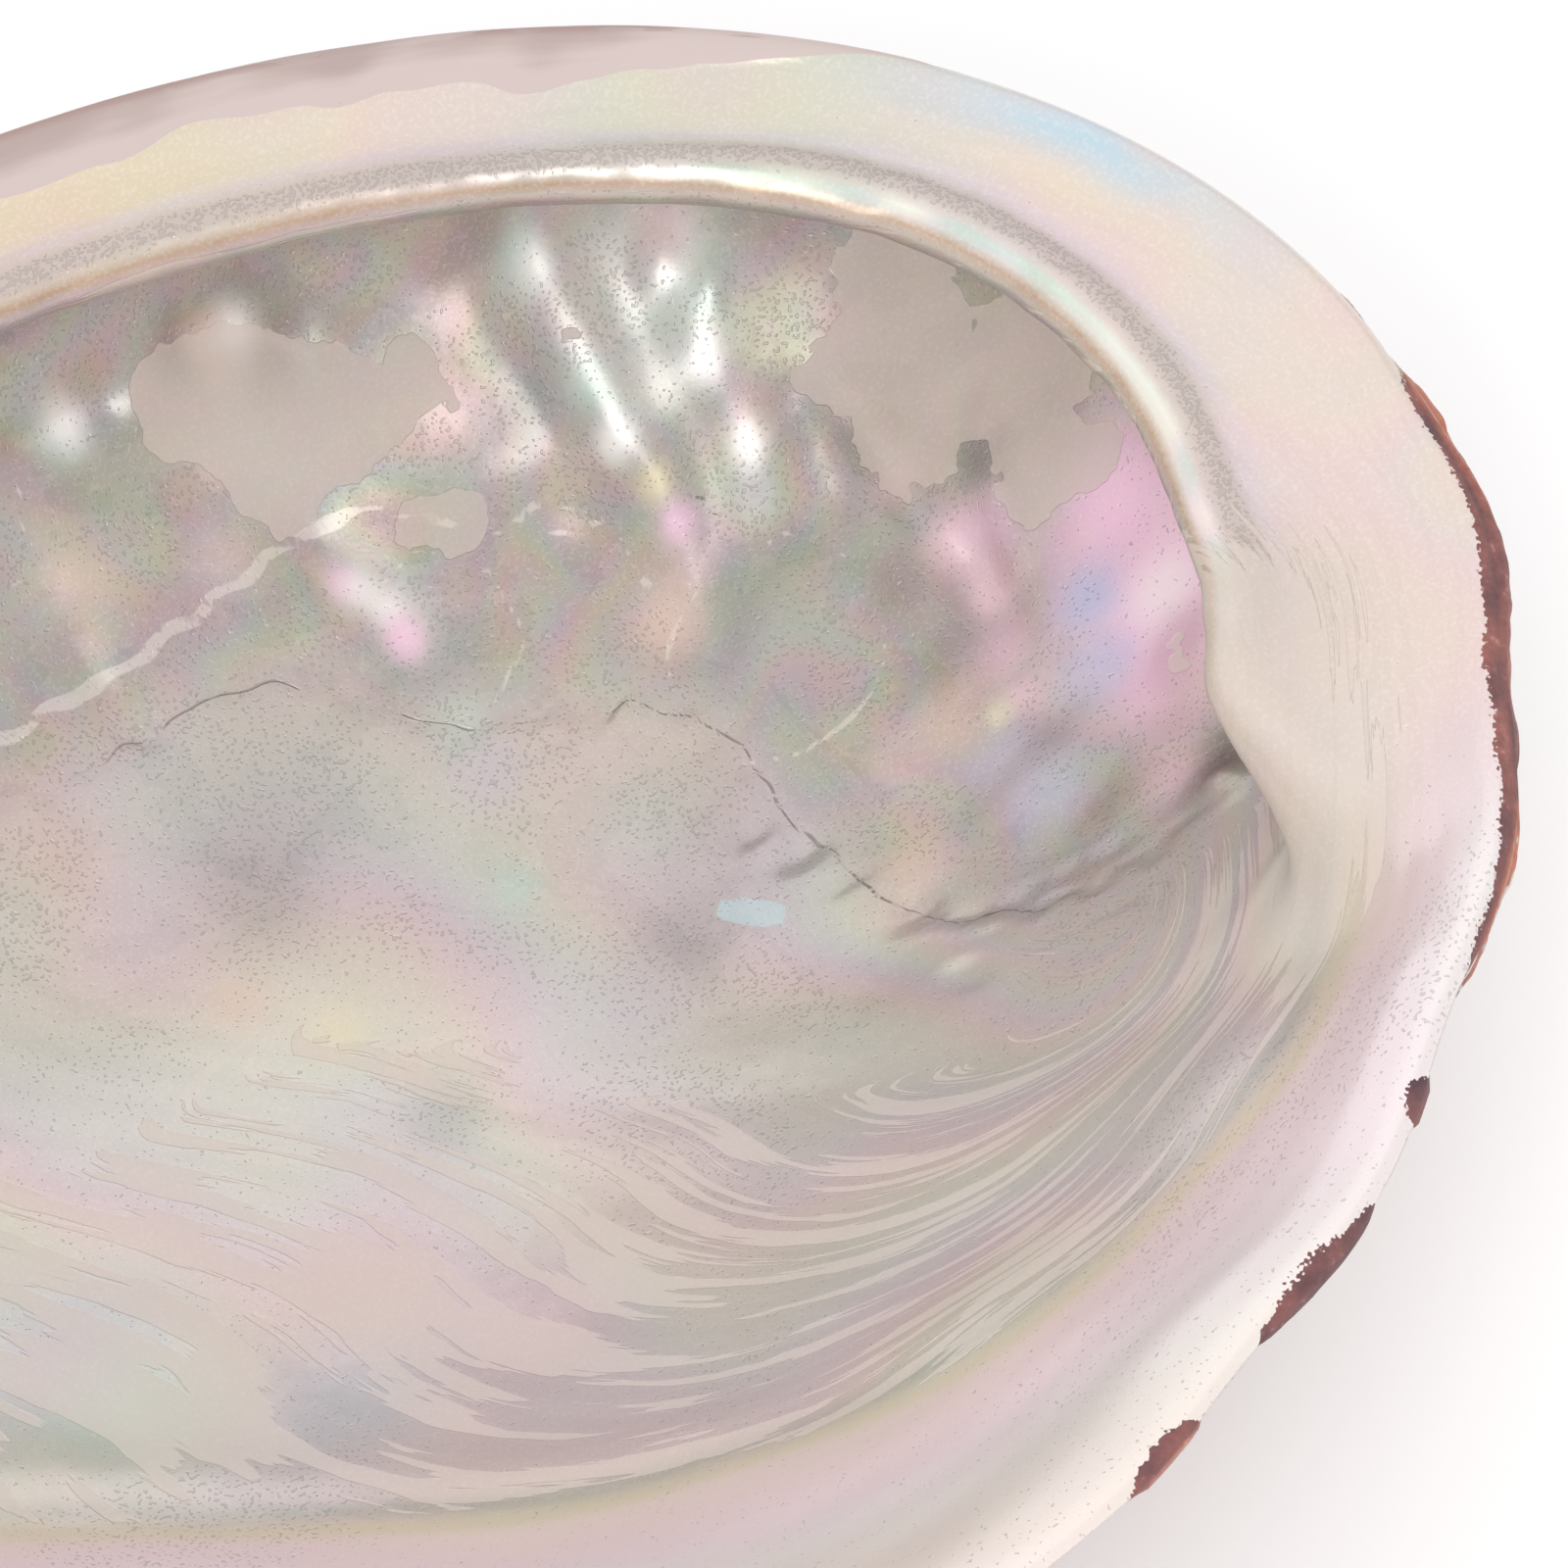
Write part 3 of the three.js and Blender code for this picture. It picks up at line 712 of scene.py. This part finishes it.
backRelief = {
    "coilTwist": 2.5,
    "rowTurn": 160.0,
    "rowFirst": 0.945,
    "rowRatio": 0.925,
    "openHoles": 4,
    "closedHoles": 13,
    "holeLong": 5.2,
    "holeShort": 3.6,
    "knobHeight": 1.9,
    "knobWidth": 4.6,
    "spireHeight": 2.6,
    "foldRise": 0.6,
    "cordCount": 18,
    "cordRise": 0.3,
    "fineCordCount": 54,
    "fineCordRise": 0.13,
    "lineRise": 0.12,
    "grooveDepth": 1.1,
    "lumpRise": 0.22,
    "fineLumpRise": 0.10,
    "crustRise": 0.8,
    "rows": 62,
}


def backNormal(across, along):
    # outward normal of the plain back, from small steps in the disc
    step = 0.004
    hold = 0.99 / np.maximum(np.hypot(across, along), 0.99)
    a = across * hold
    b = along * hold
    du = backPoint(a + step, b) - backPoint(a - step, b)
    dv = backPoint(a, b + step) - backPoint(a, b - step)
    square = np.cross(dv, du)
    return square / np.linalg.norm(square, axis=-1, keepdims=True)


def holeRow():
    # place, outward normal and stage of each hole, the newest first: stage = first * ratio^i
    count = backRelief["openHoles"] + backRelief["closedHoles"]
    stage = backRelief["rowFirst"] * backRelief["rowRatio"] ** np.arange(count)
    turn = math.radians(backRelief["rowTurn"]) + backRelief["coilTwist"] * np.log((stage + 0.02) / 1.02)
    across, along = discPoint(turn, stage)
    return backPoint(across, along), backNormal(across, along), stage


def outerSkin(angle):
    # rings nested round the spire, carried onto the back and raised along its normals
    part = np.arange(1, backRelief["rows"]) / backRelief["rows"]
    stage = (1 - part**1.15)[:, None] * np.ones_like(angle)
    ring = angle * np.ones_like(stage)
    across, along = discPoint(ring, stage)
    points = backPoint(across, along)
    normals = backNormal(across, along)
    line = ring - backRelief["coilTwist"] * np.log((stage + 0.02) / 1.02)
    edge = ease(1 - stage, 0.0, 0.06)
    lip = 1 - wallShare(ring)
    age = np.log(stage + 0.12)
    folds = backRelief["foldRise"] * edge * lip * np.sin(2 * np.pi * 3.5 * age)
    cords = backRelief["cordRise"] * edge * ease(stage, 0.1, 0.3) * np.sin(backRelief["cordCount"] * line)
    fineWave = np.sin(backRelief["fineCordCount"] * line + 0.8 * ripple(points, 16.0, 21))
    fineCords = backRelief["fineCordRise"] * edge * ease(stage, 0.3, 0.5) * fineWave
    lineWave = np.sin(2 * np.pi * 24 * age + ripple(points, 20.0, 22))
    lines = backRelief["lineRise"] * edge * ease(stage, 0.2, 0.4) * lineWave
    boss = backRelief["spireHeight"] * np.exp(-((stage / 0.16) ** 2))
    turn = np.sin((line - math.radians(backRelief["rowTurn"]) + np.pi) / 2)
    groove = -backRelief["grooveDepth"] * np.exp(-((turn / 0.22) ** 2)) * (1 - ease(stage, 0.15, 0.45))
    keelGap = np.hypot(points[..., 0] - form["keel"][0], points[..., 1] - form["keel"][1])
    clear = ease(keelGap, 10, 22)
    knobs = np.zeros_like(stage)
    places, _, stages = holeRow()
    for centre, old in zip(places, stages):
        gap = np.linalg.norm(points - centre, axis=-1) / (backRelief["knobWidth"] * mix(0.45, 1, old))
        knobs += backRelief["knobHeight"] * mix(0.4, 1, old) * edge * np.exp(-(gap**2))
    lumps = backRelief["lumpRise"] * edge * ripple(points, 7.0, 23)
    lumps = lumps + backRelief["fineLumpRise"] * edge * ripple(points, 2.6, 24)
    proud = backRelief["crustRise"] * ease(crustReach(ring), -0.9, 1.0) * ease(1 - stage, 0.0, 0.012)
    raised = clear * (folds + cords + fineCords + lines + groove + knobs + boss + lumps + proud)
    points = points + normals * raised[..., None]
    # crust in bands of growth, paler and oranger where it is rubbed, greyest near the spire
    growth = 0.5 + 0.5 * np.sin(2 * np.pi * 5.3 * age + 1.2 * ripple(points, 24.0, 25))
    cloud = ripple(points, 15.0, 26)
    tint = laid(crust["dark"], crust["brick"], ease(growth + 0.5 * cloud, 0.1, 1.0))
    tint = laid(tint, crust["orange"], 0.7 * ease(raised + 0.8 * cloud, 0.6, 2.2))
    paleShare = 0.7 * ease(0.35 - stage, 0.0, 0.3) + 0.25 * ease(cords + fineCords, 0.1, 0.4)
    tint = laid(tint, crust["pale"], paleShare)
    facts = {
        "tint": shades["wall"] * np.ones_like(points),
        "dull": 0.25 * cloud + 0.35 * ease(0.45 - stage, 0.0, 0.4) + 0.25 * ease(raised, 0.8, 2.5),
        "weave": points * 0.16,
        "worn": np.ones_like(stage),
        "crustTint": tint,
    }
    for name in ("seamGap", "crackGap", "paleGap", "facetGap"):
        facts[name] = np.full_like(stage, 9.0)
    facts["leafGap"] = np.full_like(stage, -9.0)
    return points, facts, crustReach(ring)


def shellMesh():
    # keel point, inner rows, outer rows and spire point joined into one closed skin
    angle = columnAngles()
    inner, innerFacts = innerSkin(angle)
    outer, outerFacts, reach = outerSkin(angle)
    outerFacts["rimRun"] = -runDown(np.concatenate([inner[-1:], outer]))[1:]
    outerFacts["crustGap"] = outerFacts["rimRun"] - reach
    keel = inner[:1].mean(axis=1)
    spireX, spireY = discPoint(0.0, 0.0)
    spire = backPoint(spireX, spireY) + backNormal(spireX, spireY) * backRelief["spireHeight"]
    points = np.concatenate([keel, inner[1:].reshape(-1, 3), outer.reshape(-1, 3), spire.reshape(1, 3)])
    points[:, 2] = np.maximum(points[:, 2], form["restDepth"]) - form["restDepth"]
    points[:, :2] -= form["boxShift"]
    facts = {}
    for name, inside in innerFacts.items():
        width = inside.shape[2:]
        outside = outerFacts.get(name, np.zeros(outer.shape[:2] + width))
        facts[name] = np.concatenate([
            inside[:1].mean(axis=1), inside[1:].reshape((-1,) + width),
            outside.reshape((-1,) + width), outside[-1:].mean(axis=1)])
    columns = len(angle)
    rows = len(inner) - 1 + len(outer)
    grid = 1 + np.arange(rows * columns).reshape(rows, columns)
    beside = np.roll(grid, -1, axis=1)
    quads = np.stack([grid[:-1], grid[1:], beside[1:], beside[:-1]], axis=-1).reshape(-1, 4)
    last = len(points) - 1
    caps = np.concatenate([
        np.stack([np.zeros(columns, int), grid[0], beside[0]], axis=-1),
        np.stack([grid[-1], np.full(columns, last), beside[-1]], axis=-1)])
    mesh = bpy.data.meshes.new("shell")
    mesh.from_pydata((points / 1000).tolist(), [], quads.tolist() + caps.tolist())
    mesh.polygons.foreach_set("use_smooth", np.ones(len(mesh.polygons), bool))
    for name, values in facts.items():
        if values.ndim == 1:
            mark = mesh.attributes.new(name, "FLOAT", "POINT")
            mark.data.foreach_set("value", values.astype(np.float32))
        else:
            mark = mesh.attributes.new(name, "FLOAT_VECTOR", "POINT")
            mark.data.foreach_set("vector", values.astype(np.float32).ravel())
    mesh.update()
    return mesh


def holePlugs():
    # tapered oval plugs, one through each open hole: rings of cos and sin at two depths
    places, normals = holeRow()[:2]
    count = 28
    turn = np.arange(count) * 2 * np.pi / count
    points = []
    faces = []
    for i in range(backRelief["openHoles"]):
        normal = normals[i]
        along = places[i + 1] - places[i]
        along = along - normal * (along @ normal)
        along = along / np.linalg.norm(along)
        across = np.cross(normal, along)
        centre = places[i] - np.array([*form["boxShift"], form["restDepth"]])
        base = len(points)
        for depth, scale in ((-9, 0.86), (6, 1.06)):
            ring = centre + normal * depth
            ring = ring + 0.5 * backRelief["holeLong"] * scale * np.cos(turn)[:, None] * along
            ring = ring + 0.5 * backRelief["holeShort"] * scale * np.sin(turn)[:, None] * across
            points.extend(ring / 1000)
        for k in range(count):
            n = (k + 1) % count
            faces.append((base + k, base + n, base + count + n, base + count + k))
        faces.append(tuple(base + k for k in reversed(range(count))))
        faces.append(tuple(base + count + k for k in range(count)))
    mesh = bpy.data.meshes.new("plugs")
    mesh.from_pydata([tuple(p) for p in points], [], faces)
    plugs = bpy.data.objects.new("plugs", mesh)
    bpy.context.scene.collection.objects.link(plugs)
    return plugs


shell = bpy.data.objects.new("abaloneShell", shellMesh())
bpy.context.scene.collection.objects.link(shell)
plugs = holePlugs()
cut = shell.modifiers.new("holes", "BOOLEAN")
cut.operation = "DIFFERENCE"
cut.solver = "EXACT"
cut.object = plugs
graph = bpy.context.evaluated_depsgraph_get()
finished = bpy.data.meshes.new_from_object(shell.evaluated_get(graph))
shell.modifiers.clear()
shell.data = finished
bpy.data.objects.remove(plugs)
print("shell surface made:", len(finished.polygons), "faces")


class Link:
    # a shader socket; arithmetic on it adds Math nodes
    def __init__(self, paint, socket):
        self.paint = paint
        self.socket = socket

    def __add__(self, other):
        return self.paint.maths("ADD", self, other)

    def __radd__(self, other):
        return self.paint.maths("ADD", other, self)

    def __sub__(self, other):
        return self.paint.maths("SUBTRACT", self, other)

    def __rsub__(self, other):
        return self.paint.maths("SUBTRACT", other, self)

    def __mul__(self, other):
        return self.paint.maths("MULTIPLY", self, other)

    def __rmul__(self, other):
        return self.paint.maths("MULTIPLY", other, self)


class Paint:
    # one material and the short ways of adding nodes to it
    def __init__(self, name):
        self.material = bpy.data.materials.new(name)
        self.material.use_nodes = True
        self.tree = self.material.node_tree
        self.tree.nodes.clear()

    def node(self, kind, settings=None, sockets=None, output=0):
        made = self.tree.nodes.new(kind)
        for name, value in (settings or {}).items():
            setattr(made, name, value)
        for name, value in (sockets or {}).items():
            if isinstance(value, Link):
                self.tree.links.new(value.socket, made.inputs[name])
            else:
                made.inputs[name].default_value = value
        return Link(self, made.outputs[output]) if made.outputs else None

    def maths(self, operation, a, b=0.0):
        return self.node("ShaderNodeMath", {"operation": operation}, {0: a, 1: b})

    def fact(self, name):
        return self.node("ShaderNodeAttribute", {"attribute_name": name}, output=2)

    def factVector(self, name):
        return self.node("ShaderNodeAttribute", {"attribute_name": name}, output=1)

    def between(self, value, low, high):
        settings = {"interpolation_type": "SMOOTHSTEP"}
        return self.node("ShaderNodeMapRange", settings, {0: value, 1: low, 2: high, 3: 0.0, 4: 1.0})

    def noise(self, vector, scale, detail, roughness=0.5):
        sockets = {"Vector": vector, "Scale": scale, "Detail": detail, "Roughness": roughness}
        return self.node("ShaderNodeTexNoise", {}, sockets)

    def blend(self, a, b, share):
        a = a if isinstance(a, Link) else (*a, 1.0)
        b = b if isinstance(b, Link) else (*b, 1.0)
        return self.node("ShaderNodeMix", {"data_type": "RGBA"}, {0: share, 6: a, 7: b}, output=2)

    def bump(self, height):
        return self.node("ShaderNodeBump", {}, {"Strength": 1.0, "Distance": 1.0, "Height": height})


pearl = {
    "leaf": tone(228, 206, 204),
    # near-white of the painted glints
    "paintedGlint": tone(236, 232, 232),
    "dull": tone(196, 182, 172),
    "speck": tone(112, 98, 92),
    "paleLine": tone(222, 212, 203),
    "facet": tone(176, 222, 226),
    "edge": tone(188, 172, 168),
    "edgeDeep": tone(164, 145, 141),
    "lamella": tone(150, 116, 108),
    "rubbed": tone(190, 170, 160),
    "roughness": 0.30,
    "lustre": 0.30,
    "index": 1.6,
    # patterns per metre, and the levels between which each mark begins
    "shimmerScale": 260.0,
    "grainScale": 3400.0,
    "leafLevels": (0.455, 0.470),
    "matteLevels": (1.300, 1.325),
    "rubbedLevels": (1.150, 1.175),
    "pitLevels": (0.72, 0.82),
    # strengths of the marks
    "paintedGlintShare": 0.14,
    "speckShare": 0.30,
    "paleLineShare": 0.44,
    "darkLineShare": 0.50,
    "facetShare": 0.34,
    "lamellaShare": 0.6,
    # heights of the finest marks, in metres
    "shimmerHeight": 0.000030,
    "grainHeight": 0.000005,
    "matteDepth": 0.000035,
    "pitDepth": 0.00003,
    "lineDepth": 0.00006,
}


def shellPaint():
    paint = Paint("pearlAndCrust")
    place = paint.node("ShaderNodeTexCoord", output=3)
    layers = paint.noise(paint.factVector("weave"), scale=1.0, detail=3.0, roughness=0.58)
    shimmer = paint.noise(place, pearl["shimmerScale"], detail=1.0, roughness=0.6)
    grain = paint.noise(place, pearl["grainScale"], detail=0.0)
    worn = paint.fact("worn")

    # pearl: thin leaves with ragged edges over the broad tints, dull where a leaf has no lustre
    leafEdge = paint.between(layers, *pearl["leafLevels"])
    colour = paint.blend(paint.factVector("tint"), pearl["leaf"], paint.fact("leafDepth") * leafEdge)
    # pale grains over the pearl: painted glints
    paintedGlint = paint.between(grain, 0.45, 0.80)
    colour = paint.blend(colour, pearl["paintedGlint"], pearl["paintedGlintShare"] * paintedGlint)
    field = paint.fact("dull") + 1.6 * layers
    matte = paint.between(field, *pearl["matteLevels"]) * (1.0 - worn)
    colour = paint.blend(colour, pearl["dull"], paint.fact("dullDepth") * matte)
    pits = paint.between(grain + 0.12 * paint.fact("pitted"), *pearl["pitLevels"]) * (1.0 - matte)
    colour = paint.blend(colour, pearl["speck"], pearl["speckShare"] * pits)

    # fine lines: pale ones, the dark broken seam, the crack, the bright facet
    wobble = 0.5 * (shimmer - 0.5)
    paleLine = 1.0 - paint.between(paint.fact("paleGap") + wobble, -0.05, 0.10)
    colour = paint.blend(colour, pearl["paleLine"], pearl["paleLineShare"] * paleLine)
    seamAway = paint.maths("ABSOLUTE", paint.fact("seamGap") + 2.4 * wobble)
    seamLine = 1.0 - paint.between(seamAway, 0.02, 0.13)
    seamLine = seamLine * paint.fact("seamShare") * paint.between(layers, 0.48, 0.54)
    crackLine = 1.0 - paint.between(paint.fact("crackGap") + wobble, 0.04, 0.14)
    darkLine = paint.maths("MAXIMUM", seamLine, crackLine)
    colour = paint.blend(colour, pearl["speck"], pearl["darkLineShare"] * darkLine)
    facet = 1.0 - paint.between(paint.fact("facetGap") + 1.6 * wobble, 0.90, 1.0)
    colour = paint.blend(colour, pearl["facet"], pearl["facetShare"] * facet)

    # matte leaves of older shell along the shelf's outer edge
    leafGap = paint.fact("leafGap")
    leaf = paint.between(leafGap + 0.3 * wobble, -0.03, 0.03)
    deeper = paint.between(leafGap + 4.0 * layers, 3.2, 5.6)
    edgeTone = paint.blend(pearl["edge"], pearl["edgeDeep"], deeper)
    colour = paint.blend(colour, edgeTone, leaf)
    nearRim = 1.0 - paint.between(paint.fact("rimRun"), 0.8, 1.8)
    lamella = paint.between(layers + 0.25 * shimmer, 0.62, 0.64) * nearRim * leaf
    colour = paint.blend(colour, pearl["lamella"], pearl["lamellaShare"] * lamella)

    # crust: granular, ending in a ragged edge, rubbed through in places
    crustField = paint.fact("crustGap") + 2.8 * wobble + 0.9 * (grain - 0.5) + 1.2 * (layers - 0.5)
    rubbed = paint.between(field, *pearl["rubbedLevels"]) * worn
    crustHere = (1.0 - paint.between(crustField, -0.05, 0.05)) * (1.0 - rubbed)
    colour = paint.blend(colour, pearl["rubbed"], worn)
    grains = paint.node("ShaderNodeTexVoronoi", {}, {"Vector": place, "Scale": crust["grainScale"]})
    speckle = paint.noise(place, crust["speckleScale"], detail=3.0, roughness=0.7)
    crustTone = paint.node("ShaderNodeVectorMath", {"operation": "SCALE"},
                           {0: paint.factVector("crustTint"), "Scale": 0.35 + 1.3 * speckle})
    glint = crust["glintShare"] * paint.between(speckle, 0.60, 0.74)
    crustTone = paint.blend(crustTone, crust["glint"], glint)
    crustHeight = crust["speckleHeight"] * speckle + crust["grainHeight"] * grains

    height = pearl["shimmerHeight"] * shimmer + pearl["grainHeight"] * grain - pearl["matteDepth"] * matte
    height = height - pearl["pitDepth"] * pits - pearl["lineDepth"] * darkLine

    sockets = {"Base Color": colour, "Roughness": pearl["roughness"] + 0.25 * matte + 0.25 * leaf,
               "Metallic": pearl["lustre"] - pearl["lustre"] * paint.maths("MAXIMUM", matte, leaf),
               "Normal": paint.bump(height), "IOR": pearl["index"]}
    nacre = paint.node("ShaderNodeBsdfPrincipled", {}, sockets)
    sockets = {"Base Color": crustTone, "Roughness": crust["roughness"], "Normal": paint.bump(crustHeight)}
    crustShader = paint.node("ShaderNodeBsdfPrincipled", {}, sockets)
    whole = paint.node("ShaderNodeMixShader", {}, {0: crustHere, 1: nacre, 2: crustShader})
    paint.node("ShaderNodeOutputMaterial", {}, {"Surface": whole})
    return paint.material


shell.data.materials.clear()
shell.data.materials.append(shellPaint())
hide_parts("shell")
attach(shell, "root")
print("pearl and crust painted")

studio = {
    "floorSize": 4.0,
    "floor": tone(250, 250, 250),
    "floorRoughness": 0.7,
    "world": 1.03,
    "keyPlace": (-0.62, -0.55, 0.72),
    "keySize": 0.55,
    "keyPower": 4.5,
    "fillPlace": (0.20, 0.45, 1.20),
    "fillSize": 2.0,
    "fillPower": 3.0,
    "cameraTurn": -32.474,
    "cameraRise": 58.0,
    "cameraGap": 0.5,
    "lens": 169.78,
    "aim": (0.03506, -0.01018, 0.0453),
}


def addFloor():
    half = studio["floorSize"] / 2
    mesh = bpy.data.meshes.new("floor")
    corners = [(-half, -half, 0), (half, -half, 0), (half, half, 0), (-half, half, 0)]
    mesh.from_pydata(corners, [], [(0, 1, 2, 3)])
    floor = bpy.data.objects.new("floor", mesh)
    bpy.context.scene.collection.objects.link(floor)
    paint = Paint("floorPaint")
    sockets = {"Base Color": (*studio["floor"], 1.0), "Roughness": studio["floorRoughness"]}
    surface = paint.node("ShaderNodeBsdfPrincipled", {}, sockets)
    paint.node("ShaderNodeOutputMaterial", {}, {"Surface": surface})
    mesh.materials.append(paint.material)


def addLamp(name, place, size, power):
    lamp = bpy.data.lights.new(name, "AREA")
    lamp.shape = "SQUARE"
    lamp.size = size
    lamp.energy = power
    holder = bpy.data.objects.new(name, lamp)
    holder.location = place
    holder.rotation_euler = (-Vector(place)).to_track_quat("-Z", "Y").to_euler()
    bpy.context.scene.collection.objects.link(holder)


def addCamera():
    lens = bpy.data.cameras.new("camera")
    lens.sensor_width = 36.0
    lens.lens = studio["lens"]
    lens.clip_start = 0.01
    camera = bpy.data.objects.new("camera", lens)
    turn = math.radians(studio["cameraTurn"])
    rise = math.radians(studio["cameraRise"])
    back = Vector((math.sin(turn) * math.cos(rise), -math.cos(turn) * math.cos(rise), math.sin(rise)))
    camera.location = Vector(studio["aim"]) + back * studio["cameraGap"]
    camera.rotation_euler = (-back).to_track_quat("-Z", "Y").to_euler()
    bpy.context.scene.collection.objects.link(camera)
    bpy.context.scene.camera = camera


addFloor()
addLamp("keyLamp", studio["keyPlace"], studio["keySize"], studio["keyPower"])
addLamp("fillLamp", studio["fillPlace"], studio["fillSize"], studio["fillPower"])
addCamera()
world = bpy.data.worlds.new("studio")
world.use_nodes = True
world.node_tree.nodes["Background"].inputs["Color"].default_value = (1.0, 1.0, 1.0, 1.0)
world.node_tree.nodes["Background"].inputs["Strength"].default_value = studio["world"]
bpy.context.scene.world = world
bpy.context.scene.view_settings.view_transform = "Standard"
print("studio set")
